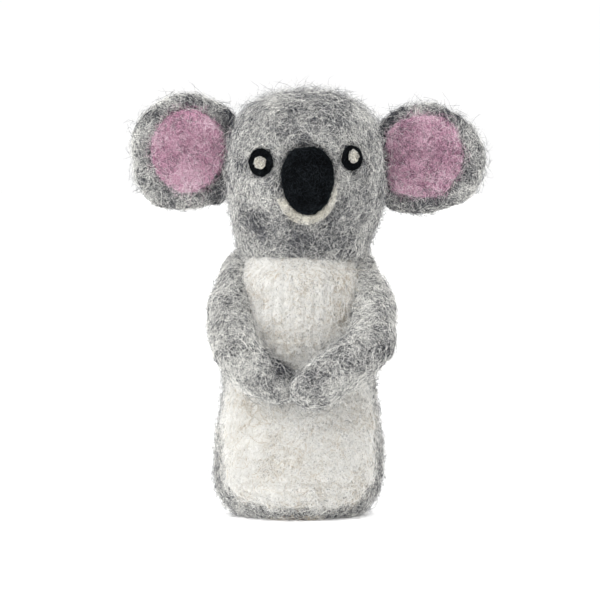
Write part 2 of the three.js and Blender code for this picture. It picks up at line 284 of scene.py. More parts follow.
def grounded(piece):
    """Flattens whatever hangs below the floor the puppet stands on."""
    points, _ = corners(piece)
    points[:, 2] = np.maximum(points[:, 2], 0)
    move_to(piece, points)


def rough(spot):
    """Noise in several layers, each twice as fine and half as high."""
    return noise.fractal(spot, 1.0, 2.0, ROUGH_LAYERS)


def lumpy(piece, form, step=0):
    """Moves the surface in and out by soft noise, as hand felting leaves it."""
    size, height, seed = LUMPS[form]
    points, normals = corners(piece)
    shift = Vector([(seed + step) * number for number in LUMP_SHIFT])
    heights = np.array([rough(Vector(p) / (size * MM) + shift) for p in points])
    move_to(piece, points + normals * (heights * height * MM)[:, None])


def spots_on(node, rows):
    """Spots given as shares of a node's box, turned into places."""
    return [(within(node, shares), reach, amount) for shares, reach, amount in rows]


def finished(piece, slot, body, node):
    piece.data.materials.clear()
    piece.data.materials.append(FELT[slot])
    piece.data.polygons.foreach_set("use_smooth", [True] * len(piece.data.polygons))
    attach(piece, body)
    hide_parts(node)


# ---------------------------------------------------------------- fibres

SIDES = 3
FINER = 4  # the small patches of shade are this much smaller than the broad ones
MOST_TRIANGLES = 190000  # in one piece, so that no piece is too heavy
FLOOR_ROOM = 0.1  # fibres stay this far above the floor


def roots(piece, density, keep, rng):
    """Random points spread evenly over the kept part of a surface, so many to a square millimetre."""
    mesh = piece.data
    mesh.calc_loop_triangles()
    triangles = np.empty(len(mesh.loop_triangles) * 3, np.int32)
    mesh.loop_triangles.foreach_get("vertices", triangles)
    points, _ = corners(piece)
    a, b, c = (points[triangles.reshape(-1, 3)[:, i]] for i in range(3))
    cross = np.cross(b - a, c - a)
    area = np.linalg.norm(cross, axis=1)
    normals = cross / np.maximum(area, TINY)[:, None]
    wanted = area * keep((a + b + c) / 3, normals)
    count = int(wanted.sum() / 2 / MM ** 2 * density)
    chosen = rng.choice(len(area), count, p=wanted / wanted.sum())
    u, v = rng.random(count), rng.random(count)
    flip = u + v > 1
    u[flip], v[flip] = 1 - u[flip], 1 - v[flip]
    spots = a[chosen] + (b - a)[chosen] * u[:, None] + (c - a)[chosen] * v[:, None]
    return spots, normals[chosen]


def unit(vectors):
    return vectors / np.maximum(np.linalg.norm(vectors, axis=1), TINY)[:, None]


def nearest(tree, spots):
    found = [tree.find_nearest(Vector(p)) for p in spots]
    return np.array([f[0] for f in found]), np.array([f[1] for f in found])


def flow(spots, size, seed):
    """A smooth field of directions, so that neighbouring fibres lie roughly alike."""
    shift = Vector([seed * number for number in FLOW_SHIFT])
    return np.array([noise.noise_vector(Vector(p) / (size * MM) + shift) for p in spots])


def paths(piece, coat, rng):
    """Fibre paths along the surface: points and normals, each (count, steps + 1, 3)."""
    steps = coat["steps"]
    tree = BVHTree.FromObject(piece, bpy.context.evaluated_depsgraph_get())
    spots, normals = roots(piece, coat["density"], coat["keep"], rng)
    count = len(spots)
    heading = rng.normal(size=(count, 3)) + np.array(coat["comb"])
    heading += flow(spots, coat["lock"], coat["seed"]) * coat["clumping"]
    lengths = rng.uniform(*coat["length"], count) * MM
    turning = rng.normal(scale=coat["curl"], size=count)
    tips = np.abs(rng.normal(size=count)) * coat["lift"] * MM
    arches = rng.uniform(0, coat["arch"], count) * MM
    lines, ups = [], []
    for step in range(steps + 1):
        share = step / steps
        height = tips * share ** 2 + arches * math.sin(math.pi * share)
        lines.append(spots + normals * height[:, None])
        ups.append(normals)
        heading = unit(heading - normals * (heading * normals).sum(1)[:, None])
        side = np.cross(normals, heading)
        angle = (turning + rng.normal(scale=coat["wander"], size=count)) / steps
        heading = heading * np.cos(angle)[:, None] + side * np.sin(angle)[:, None]
        if step < steps:
            spots, normals = nearest(tree, spots + heading * (lengths / steps)[:, None])
    lines = np.stack(lines, 1)
    lines[..., 2] = np.maximum(lines[..., 2], FLOOR_ROOM * MM)
    return lines, np.stack(ups, 1)


def clear_of(outlines, lines, ups):
    """Leaves out the fibres that would cross any of the outlines: rows of node and growth."""
    for node, grow in outlines:
        crossing = around(node, grow)(lines.reshape(-1, 3), ups.reshape(-1, 3)).reshape(len(lines), -1)
        clear = ~crossing.any(1)
        lines, ups = lines[clear], ups[clear]
    return lines, ups


def tubes(name, lines, ups, radius, shade, materials):
    """One mesh of thin closed tubes with pointed ends, one along each line."""
    count, steps = len(lines), lines.shape[1] - 1
    ahead = np.gradient(lines, axis=1)
    ahead /= np.maximum(np.linalg.norm(ahead, axis=2, keepdims=True), TINY)
    side = np.cross(ahead, ups)
    side /= np.maximum(np.linalg.norm(side, axis=2, keepdims=True), TINY)
    over = np.cross(side, ahead)
    rings = []
    for k in range(SIDES):
        angle = 2 * math.pi * k / SIDES + math.pi / 2
        rings.append(side * math.cos(angle) + over * math.sin(angle))
    ring = np.stack(rings, 2)[:, 1:-1] * radius[:, None, None, None] + lines[:, 1:-1, None]
    points = np.concatenate([lines[:, :1], ring.reshape(count, -1, 3), lines[:, -1:]], 1)
    per = points.shape[1]
    middles = steps - 1
    faces = []
    for k in range(SIDES):
        faces.append((0, 1 + k, 1 + (k + 1) % SIDES))
    for ring_index in range(middles - 1):
        start = 1 + ring_index * SIDES
        for k in range(SIDES):
            after = (k + 1) % SIDES
            low, high = (start + k, start + after), (start + SIDES + k, start + SIDES + after)
            faces.append((low[0], high[0], high[1]))
            faces.append((low[0], high[1], low[1]))
    last = 1 + (middles - 1) * SIDES
    for k in range(SIDES):
        faces.append((last + k, per - 1, last + (k + 1) % SIDES))
    pattern = np.array(faces, np.int32)
    index = (pattern[None] + (np.arange(count) * per)[:, None, None]).reshape(-1)
    mesh = bpy.data.meshes.new(name)
    mesh.vertices.add(count * per)
    mesh.vertices.foreach_set("co", points.astype(np.float32).ravel())
    mesh.loops.add(len(index))
    mesh.loops.foreach_set("vertex_index", index)
    total = count * len(pattern)
    mesh.polygons.add(total)
    mesh.polygons.foreach_set("loop_start", np.arange(total, dtype=np.int32) * 3)
    mesh.polygons.foreach_set("material_index", np.repeat(shade, len(pattern)).astype(np.int32))
    mesh.polygons.foreach_set("use_smooth", np.ones(total, bool))
    for material in materials:
        mesh.materials.append(material)
    mesh.update(calc_edges=True)
    mesh.validate()
    return link(name, mesh)


def pick_shades(spots, coat, rng):
    """A shade for each fibre; noise makes lighter and darker patches, and listed spots shift it darker or
    lighter: tufts, tan wool, painted shade and painted light.
    """
    patch, weights = coat["patch"] * MM, coat["weights"]
    broad = np.array([noise.noise(Vector(p) / patch) for p in spots])
    fine = np.array([noise.noise(Vector(p) / (patch / FINER)) for p in spots])
    level = rng.random(len(spots)) + (broad + fine) * coat["patchiness"]
    for spot, reach, darker in coat["dark_spots"]:
        far = np.linalg.norm(spots - np.array(spot), axis=1) / (reach * MM)
        level += darker * np.exp(-far ** 2)
    level = np.clip(level, 0, 1)
    return np.searchsorted(np.cumsum(weights) / sum(weights), level).clip(0, len(weights) - 1)


def everywhere(points, normals):
    return np.ones(len(points))


COAT = {
    "density": 5.5, "length": (1.8, 4.5), "radius": (0.028, 0.065), "lift": 0.12, "arch": 0.12, "curl": 1.5,
    "wander": 0.8, "steps": 4, "comb": (0, 0, 0), "clumping": 1.7, "lock": 6, "keep": everywhere,
    "weights": (3.4, 2.7, 1.9, 2.3, 2.8), "patch": 5, "patchiness": 0.55, "dark_spots": (), "avoid": (),
}
# Thicker, curlier strands on top of the coat.
STRAND = {
    "density": 1.4, "length": (2.6, 6), "radius": (0.038, 0.07), "lift": 0.3, "arch": 0.35, "curl": 2.4,
    "wander": 2.6, "steps": 6, "clumping": 0.8, "weights": (4, 3, 1.5, 1.4, 1.8), "patchiness": 0.45,
}
# The ears' strands are shorter and straighter.
EAR_STRAND = {
    **STRAND, "density": 2, "length": (1.5, 3.4), "radius": (0.03, 0.058), "curl": 1.6, "steps": 5,
}
# A short soft fringe that blurs the outline.
FRINGE = {
    "density": 2.6, "length": (1.6, 4.4), "radius": (0.017, 0.03), "lift": 1.5, "arch": 0.3, "curl": 2,
    "wander": 2, "steps": 4, "clumping": 0.6, "weights": (1.5, 2.5, 3, 2.2, 1.6), "patchiness": 0.4,
}
# Long fine hairs that stand off the surface.
STRAY = {
    "density": 0.75, "length": (4, 10), "radius": (0.02, 0.032), "lift": 1.8, "arch": 1, "curl": 3.2,
    "wander": 3.2, "steps": 6, "clumping": 0.5, "weights": (1, 2, 3.5, 2.5, 1), "patchiness": 0,
}
BLACK_WEIGHTS = (1, 3, 4)
# How each coat differs from COAT. Each has its own seed, so that a change in one leaves the rest alone.
COATS = {
    "body": {"seed": 11},
    "belly": {"seed": 12, "comb": (0, 0, -1.6), "weights": (6, 4, 2, 0.8, 0)},
    "belly_edging": {"seed": 41, "density": 3, "lift": 0.3, "weights": (4, 4, 2, 0.5, 0)},
    "belly_flecks": {
        "seed": 42, "density": 12.5, "length": (0.4, 1.2), "radius": (0.022, 0.04), "steps": 3,
        "comb": (0, 0, -0.8), "weights": (0, 1, 4, 3.2, 0.6),
    },
    "hem_rim_fibres": {"seed": 43, "density": 16, "length": (0.8, 2.2), "lift": 0.3, "weights": (4, 3, 1)},
    "head": {"seed": 13},
    "muzzle_fibres": {
        "seed": 15, "density": 7, "length": (1.2, 2.6), "radius": (0.025, 0.05),
        "weights": (2.2, 4, 3.2, 1.6),
    },
    "muzzle_edging": {
        "seed": 115, "density": 4, "length": (1, 2.4), "radius": (0.02, 0.045), "lift": 0.5,
        "weights": (3, 4, 2, 0.6),
    },
    "muzzle_greys": {"seed": 215, "density": 7, "length": (0.7, 1.8), "radius": (0.02, 0.045), "lift": 0.2},
    "nose_fibres": {
        "seed": 14, "length": (1.2, 2.6), "radius": (0.025, 0.05), "lift": 0.04, "arch": 0.05,
        "weights": (1.5, 3, 4),
    },
    "nose_fringe": {
        **FRINGE, "seed": 114, "density": 8, "length": (0.8, 2), "lift": 0.45, "weights": BLACK_WEIGHTS,
    },
    "nose_edging": {
        "seed": 214, "density": 11, "length": (0.8, 1.9), "radius": (0.02, 0.04), "lift": 0.8,
        "weights": BLACK_WEIGHTS,
    },
    "eye_fibres": {
        "seed": 16, "density": 9, "length": (0.8, 1.8), "radius": (0.025, 0.045), "lift": 0.16,
        "weights": BLACK_WEIGHTS,
    },
    "eye_edging": {
        "seed": 116, "density": 9, "length": (0.6, 1.4), "radius": (0.02, 0.04), "lift": 0.5,
        "weights": BLACK_WEIGHTS,
    },
    "glint_fibres": {
        "seed": 18, "density": 16, "length": (0.6, 1.4), "radius": (0.035, 0.065), "lift": 0.15,
        "weights": (3, 2.5, 3, 2.5),
    },
    "glint_flecks": {
        "seed": 218, "density": 8, "length": (0.4, 1), "radius": (0.025, 0.045), "lift": 0.15,
        "weights": (2, 2, 2, 2, 1.5),
    },
    "glint_edging": {
        "seed": 318, "density": 24, "length": (0.3, 0.7), "radius": (0.025, 0.045), "lift": 0.15,
        "weights": BLACK_WEIGHTS,
    },
    "ear": {"seed": 20, "weights": (3.6, 2.6, 1.5, 2.2, 2.9)},
    "pad": {"seed": 22, "patchiness": 0.4},
    "pad_edging": {
        "seed": 122, "density": 4, "length": (0.8, 2), "radius": (0.02, 0.04), "lift": 0.5,
        "weights": (1, 3, 4, 2, 1),
    },
    "pad_greys": {"seed": 322, "density": 3, "length": (0.8, 2), "radius": (0.02, 0.04), "lift": 0.4},
    "arm": {"seed": 24, "weights": (5.2, 3.5, 2.1, 1.7, 2.1), "clumping": 1},
}
# A big form has four coats; each has a seed so much higher than the one before.
SEED_STEP = 100


def coat_of(name, step=0):
    """A named coat's numbers; the right-hand piece of a pair has the next seed."""
    return {**COATS[name], "seed": COATS[name]["seed"] + step}


def fuzz(name, piece, slot, body, seed, **changes):
    """Covers a felt form with wool fibres, in as many pieces as their number needs."""
    coat = {**COAT, "seed": seed, **changes}
    rng = np.random.default_rng(seed)
    lines, ups = clear_of(coat["avoid"], *paths(piece, coat, rng))
    thick = rng.uniform(*coat["radius"], len(lines)) * MM
    shade = pick_shades(lines[:, 0], coat, rng)
    most = MOST_TRIANGLES // (2 * SIDES * (coat["steps"] - 1))
    for part, start in enumerate(range(0, len(lines), most)):
        some = slice(start, start + most)
        tufts = tubes(f"{name}_{part + 1}", lines[some], ups[some], thick[some], shade[some], SHADES[slot])
        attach(tufts, body)


def furred(name, piece, slot, body, seed, strand=STRAND, **changes):
    """The four coats of fibres on a big felt form."""
    fuzz(f"{name}_fibres", piece, slot, body, seed, **changes)
    for step, (coat, numbers) in enumerate((("strands", strand), ("fringe", FRINGE), ("strays", STRAY)), 1):
        fuzz(f"{name}_{coat}", piece, slot, body, seed + step * SEED_STEP, **{**numbers, **changes})


# ---------------------------------------------------------------- the pieces


def soft_step(values, start, end):
    share = np.clip((values - start) / (end - start), 0, 1)
    return share * share * (3 - 2 * share)


UNDER_CHIN = 2  # how far above the chin the body's fibres still grow, inside the head's rim


def outside_body(points, normals):
    """The outer side of the body, up to where the head covers the shoulders."""
    away = (points - np.array(BODY_MIDDLE)) * (1, 1, 0)
    return ((away * normals).sum(1) > 0) & (points[:, 2] < CHIN + UNDER_CHIN * MM)


# Half widths of the white layer at each height, as shares of the belly panel's half width and height.
BELLY_OUTLINE = (
    (-0.05, 0.62), (0.0, 0.8), (0.06, 0.93), (0.14, 1.0), (0.3, 1.0), (0.5, 0.92), (0.8, 0.82), (1.0, 0.8),
    (1.1, 0.8),
)
BELLY_SAG = 2.4  # the lower edge sags this far in the middle
BELLY_THICKNESS = 1.2
BELLY_THIN = 0.15  # where the head slides over the shoulders
BELLY_THINS = (2, 5.5)  # it gets that thin between these heights above the pivot
BELLY_SUNK = 0.4
BELLY_SKIRT = 0.6  # how far it is cut outside its outline
BELLY_BACKING = 0.9
# From the outline inwards: where the layer rises to its full height, and where it leaves the grey felt.
EDGE_RISE = (-0.5, 2)
EDGE_SINK = (-0.5, 1)
EDGE_WAVE = (4, 0.8)  # size and height of the waves in its outline
BELLY_RIDGES = ((7.5, 0.5), (10, 0.35), (41.5, 0.45))  # heights and depths of its cross folds
RIDGE_HALF = 0.6
RIB_SPACING = 2.2
RIB_DEPTH = 0.22
RIB_BOTTOM = 36  # the chest has upright ribs above this height
RIB_FADE = 4  # they reach their full depth within this
# Places as shares of the white layer's box, with a reach in millimetres: where it is tan, by how much,
# and where grey fibres are worked into it.
TAN_SPOTS = (((0.865, 0.29, 0.94), 3.2, 0.5), ((0.75, 0.17, 0.78), 3, 0.35), ((0.49, 0, 0.19), 2.6, 0.3))
GREY_SPOTS = (
    ((0.245, 0.17, 0.78), 3), ((0.51, 0, 0.36), 5), ((0.78, 0.2, 0.2), 7), ((0.6, 0.05, 0.55), 5),
    ((0.55, 0.1, 0.85), 6),
)
# The share of grey fibres: in the middle, towards the right side (partly painted shade on the side away
# from the light), in patches, in spots, and at least.
GREY_MIDDLE = 0.62
GREY_RIGHT_AND_SHADE = 0.8
GREY_RIGHT_REACH = 18
GREY_PATCHES = 0.7
GREY_PATCH_SIZE = 5
GREY_IN_SPOTS = 0.8
GREY_LEAST = 0.03
GREY_EDGE = (0, 3)  # it rises from here to the outline
# Where the grey coat ends inside the outline, and where the white edging lies across it.
GREY_COAT_END = 1.2
WHITE_EDGING_END = 1.5
WHITE_EDGING_RISE = (-1.8, 0)
# A broad painted light on the hem's front bottom, where the floor's bounce falls, and darker tufts along
# the hem: shares of the body's box, reach, how much darker.
HEM_TUFTS_AND_BOUNCE_LIGHT = (
    ((0.5, 0, 0), 16, -0.12), ((0.25, 0.1, 0.03), 2.5, 0.6), ((0.52, 0, 0.015), 2.5, 0.6),
    ((0.76, 0.1, 0.03), 3, 0.6),
)
RIM_HALF = 5.5  # half the length of the tan lining that shows under the hem
RIM_SHOWS = 0.9  # and how high it reaches
# Where the body's lower left side is fuller: shares of its box, reach, move.
BODY_BULGES = (((0, 0.4, 0.07), 6, (-1, 0, 0)),)


def belly_margin(points):
    """How far, in millimetres, each point lies inside the white layer's wavy outline."""
    low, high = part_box("belly_panel")
    centre, half = (low.x + high.x) / 2, (high.x - low.x) / 2
    up = (points[:, 2] - low.z) / (high.z - low.z)
    wide = np.interp(up, *np.array(BELLY_OUTLINE).T) * half
    wave_size, wave_height = EDGE_WAVE
    wave = np.array([rough(Vector(p) / (wave_size * MM)) for p in points])
    across = (wide - np.abs(points[:, 0] - centre)) / MM
    sag = BELLY_SAG * (1 - ((points[:, 0] - centre) / half) ** 2)
    above = (points[:, 2] - low.z) / MM + sag
    front = (BODY_MIDDLE.y - points[:, 1]) / MM
    return np.minimum(np.minimum(across, above), front) + wave * wave_height


def belly_height(points, margin):
    """How far the white layer stands out of the grey felt; along its edge it sinks into it."""
    high = points[:, 2] / MM
    start, end = (PIVOT.z / MM + rise for rise in BELLY_THINS)
    thinned = soft_step(high, start, end)
    full = BELLY_THIN + (BELLY_THICKNESS - BELLY_THIN) * (1 - thinned)
    for height, depth in BELLY_RIDGES:
        full = full + depth * np.exp(-((high - height) / RIDGE_HALF) ** 2)
    ribs = RIB_DEPTH * np.cos(points[:, 0] / MM * 2 * math.pi / RIB_SPACING)
    full = full + ribs * soft_step(high, RIB_BOTTOM, RIB_BOTTOM + RIB_FADE) * (1 - thinned)
    return full * soft_step(margin, *EDGE_RISE) - BELLY_SUNK * (1 - soft_step(margin, *EDGE_SINK))


def make_belly(body):
    """The white layer, raised from the body's own surface inside its outline."""
    points, normals = corners(body)
    keep = (belly_margin(points) > -BELLY_SKIRT) & (outside_body(points, normals) > 0)
    mesh = bmesh.new()
    mesh.from_mesh(body.data)
    mesh.verts.ensure_lookup_table()
    bmesh.ops.delete(mesh, geom=[v for v in mesh.verts if not keep[v.index]], context="VERTS")
    bmesh.ops.subdivide_edges(mesh, edges=mesh.edges, cuts=1, use_grid_fill=True)
    data = bpy.data.meshes.new("belly_felt")
    mesh.to_mesh(data)
    mesh.free()
    panel = link("belly_felt", data)
    points, normals = corners(panel)
    move_to(panel, points + normals * (belly_height(points, belly_margin(points)) * MM)[:, None])
    backing = panel.modifiers.new("backing", "SOLIDIFY")
    backing.thickness = BELLY_BACKING * MM
    backing.offset = -1
    return applied(panel)


def make_body():
    body = softened("body_felt", "body_shell", *FORMS["body"])
    bulged(body, "body_shell", BODY_BULGES)
    lumpy(body, "body")
    grounded(body)
    finished(body, "grey_wool", "body", "body_shell")

    panel = make_belly(body)
    lumpy(panel, "belly")
    finished(panel, "white_wool", "body", "belly_panel")

    def grey(points, normals):
        return outside_body(points, normals) & (belly_margin(points) < GREY_COAT_END)

    def greyish(points, normals):
        """Grey fibres over the white layer's edges and right side, in patches; towards the right they
        partly paint the shade on the side away from the light.
        """
        cloud = np.array([noise.noise(Vector(p) / (GREY_PATCH_SIZE * MM)) for p in points])
        across = (points[:, 0] - BODY_MIDDLE.x) / (GREY_RIGHT_REACH * MM)
        amount = GREY_MIDDLE + GREY_RIGHT_AND_SHADE * across + GREY_PATCHES * cloud
        amount = amount + 1 - soft_step(belly_margin(points), *GREY_EDGE)
        for shares, reach in GREY_SPOTS:
            far = np.linalg.norm(points - np.array(within("belly_panel", shares)), axis=1) / (reach * MM)
            amount += GREY_IN_SPOTS * np.exp(-far ** 2)
        return outside_body(points, normals) * np.clip(amount, GREY_LEAST, 1)

    def under_hem(points, normals):
        """The front of the hem's lower edge, where the lining shows."""
        along = np.abs(points[:, 0] - BODY_MIDDLE.x) < RIM_HALF * MM
        return along & (points[:, 1] < BODY_MIDDLE.y) & (points[:, 2] < RIM_SHOWS * MM)

    def edging(points, normals):
        """White fibres reach over the grey felt round the white layer."""
        margin = belly_margin(points)
        rise = soft_step(margin, *WHITE_EDGING_RISE)
        return outside_body(points, normals) * (margin < WHITE_EDGING_END) * rise

    furred("body", body, "grey_wool", "body", keep=grey, dark_spots=spots_on("body_shell", HEM_TUFTS_AND_BOUNCE_LIGHT),
           **coat_of("body"))
    furred("belly", panel, "white_wool", "body", keep=outside_body,
           dark_spots=spots_on("belly_panel", TAN_SPOTS), **coat_of("belly"))
    fuzz("belly_edging", body, "white_wool", "body", keep=edging, **coat_of("belly_edging"))
    fuzz("belly_flecks", panel, "grey_wool", "body", keep=greyish, **coat_of("belly_flecks"))

    lining = softened("pocket_felt", "pocket_lining", *FORMS["pocket"])
    grounded(lining)
    finished(lining, "core_wool", "body", "pocket_lining")
    fuzz("hem_rim_fibres", body, "core_wool", "body", keep=under_hem, **coat_of("hem_rim_fibres"))


PROBE = 0.1  # a small step under the surface, to tell which way it faces


def outside_head(points, normals):
    """The outer side of the head, without the hollow under it."""
    away = ((points - np.array(HEAD_MIDDLE)) * normals).sum(1) > 0
    far = np.linalg.norm(points - np.array(PIVOT), axis=1)
    inside = points - normals * PROBE * MM
    hollow = far - np.linalg.norm(inside - np.array(PIVOT), axis=1)
    return away & ((hollow > 0) | (points[:, 2] > HEAD_MIDDLE.z))


# The head's fibres stay out of these outlines, drawn in by so many millimetres.
FACE_FEATURES = (("nose", -0.5), ("left_eye", -0.25), ("right_eye", -0.25))
# Darker tufts on the head, a darker patch low on the right cheek, and painted shade under the chin and
# along its edge over the chest: place as shares of its box, reach in millimetres, how much darker.
HEAD_TUFTS_AND_SHADE = (
    ((0.16, 0.16, 0.2), 2.2, 0.8), ((0.38, 0.1, 0.88), 2.6, 0.6), ((0.5, 0, 0.08), 9, 0.2),
    ((0.75, 0.1, 0.3), 5, 0.15), ((0.45, 0, 0.72), 3, 0.5), ((0.27, 0.12, 0), 2.4, 0.7),
    ((0.42, 0.05, 0), 2, 0.5),
)
HEAD_BULGES = (((0.5, 0.5, 1), 13, (0, 0, -0.9)),)
RIM_DROP = 0.9
RIM_HEIGHT = 5


def lower_rim(head):
    """Draws the head's rim down over the shoulders, as the soft felt sags there."""
    points, _ = corners(head)
    high = (points[:, 2] - CHIN) / MM
    points[:, 2] -= RIM_DROP * MM * (1 - soft_step(high, 0, RIM_HEIGHT))
    move_to(head, points)


def make_neck_and_head():
    neck = softened("neck_felt", "neck_sleeve", *FORMS["neck"])
    finished(neck, "grey_wool", "neck", "neck_sleeve")
    core = softened("head_core_felt", "head_core", *FORMS["head_core"])
    finished(core, "core_wool", "head", "head_core")
    head = softened("head_felt", "head_cover", *FORMS["head"])
    bulged(head, "head_cover", HEAD_BULGES)
    lower_rim(head)
    lumpy(head, "head")
    finished(head, "grey_wool", "head", "head_cover")
    furred("head", head, "grey_wool", "head", keep=outside_head, avoid=FACE_FEATURES,
           dark_spots=spots_on("head_cover", HEAD_TUFTS_AND_SHADE), **coat_of("head"))


PATCH_ROOM = 4  # how far behind its middle a patch still covers the head


def around(node, grow):
    """Keeps the part of the head within a patch's outline, seen from the front and grown by a margin."""
    low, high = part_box(node)
    centre, half = (low + high) / 2, (high - low) / 2

    def keep(points, normals):
        across = (points[:, 0] - centre.x) / (half.x + grow * MM)
        up = (points[:, 2] - centre.z) / (half.z + grow * MM)
        in_front = (points[:, 1] < centre.y + PATCH_ROOM * MM) & (normals[:, 1] < 0)
        return (across ** 2 + up ** 2 < 1) & in_front
    return keep


def rim_of(node, inset):
    """Keeps the outer part of a patch, so far in from its outline."""
    inner = around(node, -inset)
    return lambda points, normals: ~inner(points, normals)


HORN_TOPS = (0.38, 0.58)  # the muzzle's left and right horns end at these shares of its height
HORN_FADE = 0.14
HORN_SINK = 2.7  # above them the muzzle's felt lies this far back, inside the head
HORN_HIDDEN = 0.2  # from here on the muzzle is covered with grey
MUZZLE_GROW = 0.4  # how far cream fibres reach past the muzzle
MUZZLE_RIM = 0.9  # and how far grey fibres reach over its edge
NOSE_SWELL = -0.1
NOSE_GROW = 0.75
# Where the nose departs from its solid: shares of its box, reach, move in millimetres.
NOSE_BULGES = (
    ((0.1, 0.3, 0.15), 3, (-0.5, 0, -0.1)), ((0.9, 0.3, 0.15), 3, (0.5, 0, -0.1)),
    ((0.5, 0.5, 1), 4, (0, 0, -0.5)), ((0.5, 1, 0.6), 6, (0, 0.9, 0)),
)
EYE_SWELL = -0.05
EYE_GROW = 0.45
GLINT_SWELL = -0.18
GLINT_RIM = 0.3


def above_horns(points):
    """From 0 on the part of the muzzle that shows to 1 where its horns have ended."""
    low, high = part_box("muzzle_patch")
    across = (points[:, 0] - low.x) / (high.x - low.x)
    up = (points[:, 2] - low.z) / (high.z - low.z)
    return soft_step(up - np.interp(across, (0, 1), HORN_TOPS), -HORN_FADE, HORN_FADE)


def make_muzzle(head):
    def crescent(points, normals):
        return around("muzzle_patch", MUZZLE_GROW)(points, normals) * (1 - above_horns(points))

    def muzzle_rim(points, normals):
        return rim_of("muzzle_patch", MUZZLE_RIM)(points, normals) | (above_horns(points) > HORN_HIDDEN)

    muzzle = softened("muzzle_felt", "muzzle_patch", *FORMS["muzzle"])
    points, _ = corners(muzzle)
    points[:, 1] += HORN_SINK * MM * above_horns(points)
    move_to(muzzle, points)
    finished(muzzle, "cream_wool", "head", "muzzle_patch")
    fuzz("muzzle_fibres", muzzle, "cream_wool", "head", **coat_of("muzzle_fibres"))
    fuzz("muzzle_edging", head, "cream_wool", "head", keep=crescent, **coat_of("muzzle_edging"))
    fuzz("muzzle_greys", muzzle, "grey_wool", "head", keep=muzzle_rim, **coat_of("muzzle_greys"))


def make_nose(head):
    nose = softened("nose_felt", "nose", *FORMS["nose"])
    swollen(nose, NOSE_SWELL)
    bulged(nose, "nose", NOSE_BULGES)
    lumpy(nose, "nose")
    finished(nose, "black_wool", "head", "nose")
    fuzz("nose_fibres", nose, "black_wool", "head", **coat_of("nose_fibres"))
    fuzz("nose_fringe", nose, "black_wool", "head", **coat_of("nose_fringe"))
    fuzz("nose_edging", head, "black_wool", "head", keep=around("nose", NOSE_GROW),
         **coat_of("nose_edging"))


def make_eye(head, side, step):
    eye = softened(f"{side}_eye_felt", f"{side}_eye", *FORMS["eye"])
    swollen(eye, EYE_SWELL)
    finished(eye, "black_wool", "head", f"{side}_eye")
    fuzz(f"{side}_eye_fibres", eye, "black_wool", "head", **coat_of("eye_fibres", step))
    fuzz(f"{side}_eye_edging", head, "black_wool", "head", keep=around(f"{side}_eye", EYE_GROW),
         **coat_of("eye_edging", step))
    glint = softened(f"{side}_glint_felt", f"{side}_eye_glint", *FORMS["glint"])
    swollen(glint, GLINT_SWELL)
    lumpy(glint, "glint", step)
    finished(glint, "cream_wool", "head", f"{side}_eye_glint")
    fuzz(f"{side}_glint_fibres", glint, "cream_wool", "head", **coat_of("glint_fibres", step))
    fuzz(f"{side}_glint_flecks", glint, "grey_wool", "head", **coat_of("glint_flecks", step))
    fuzz(f"{side}_glint_edging", glint, "black_wool", "head", keep=rim_of(f"{side}_eye_glint", GLINT_RIM),
         **coat_of("glint_edging", step))


def make_face():
    head = bpy.data.objects["head_felt"]
    make_muzzle(head)
    make_nose(head)
    for step, side in enumerate(("left", "right")):
        make_eye(head, side, step)


# Where each ear and pad departs from a plain oval: place as shares of its box, reach and move in mm.
EAR_BULGES = {
    "left": (
        ((0.95, 0.5, 0.78), 5, (1.8, 0, 1.3)), ((0.89, 0.5, 0.17), 4.5, (0.9, 0, -2.1)),
        ((0.2, 0.5, 0.08), 5, (-0.5, 0, -0.9)), ((0.25, 0.5, 0.95), 5, (0.3, 0, -0.5)),
    ),
    "right": (
        ((0.1, 0.5, 0.78), 5, (-1.4, 0, 1.2)), ((0.15, 0.5, 0.2), 5, (-1.8, 0, -3.3)),
        ((0.93, 0.5, 0.86), 4, (-1.1, 0, -0.9)), ((0.73, 0.5, 1), 4, (0, 0, -1)),
        ((0.98, 0.5, 0.7), 2.5, (-0.8, 0, -0.3)), ((1, 0.5, 0.5), 2.5, (0.6, 0, 0)),
    ),
}
PAD_BULGES = {
    "left": (
        ((0.9, 0.5, 0.87), 4, (-0.9, 0, -0.7)), ((0.25, 0.5, 0.9), 4, (0.5, 0, -0.7)),
        ((0.6, 0.5, 1), 4, (0, 0, -0.5)), ((0.88, 0.5, 0.13), 4, (-0.6, 0, 0.4)),
    ),
    "right": (
        ((0, 0.5, 0.13), 4, (-1.3, 0, -1.9)), ((0, 0.5, 0.85), 4, (-1.3, 0, 0.3)),
        ((0.4, 0.5, 1), 5, (0, 0, -1.1)), ((1, 0.5, 0.75), 4, (-0.3, 0, -0.2)),
    ),
}
# Painted shade along each ear's root, where it meets the head, painted light on the left ear's outer side,
# and darker tufts: shares of the ear's box, reach, how much darker.
EAR_SHADE_AND_TUFTS = {
    "left": (
        ((1, 0.2, 0.15), 4, 1.1), ((1, 0.2, 0.4), 3, 1.4), ((1, 0.2, 0.65), 3, 1.4),
        ((1, 0.2, 0.88), 3, 0.5), ((0.4, 0, 0.06), 4, 0.25), ((0.1, 0, 0.5), 9, -0.08),
    ),
    "right": (
        ((0, 0.2, 0.05), 4, 0.4), ((0, 0.2, 0.3), 3, 1.4), ((0, 0.2, 0.6), 3, 1.4), ((0, 0.2, 0.9), 4, 0.9),
        ((0.8, 0, 0.4), 3, 0.5), ((0.45, 0, 0.05), 4, 0.35), ((0.6, 0, 0.9), 5, 0.15),
    ),
}
# Painted shade on each pad at its root, beside the head.
PAD_ROOT_SHADE = {"left": [((1, 0.3, 0.5), 4, 0.35)], "right": [((0, 0.3, 0.5), 4, 0.35)]}
PAD_WEIGHTS = {"left": (1.9, 2.6, 3, 2.1, 1.2), "right": (3, 3.2, 2.6, 1.4, 1)}
PAD_SWELL = 0.15
PAD_GROW = 0.4
PAD_RIM = 1.2


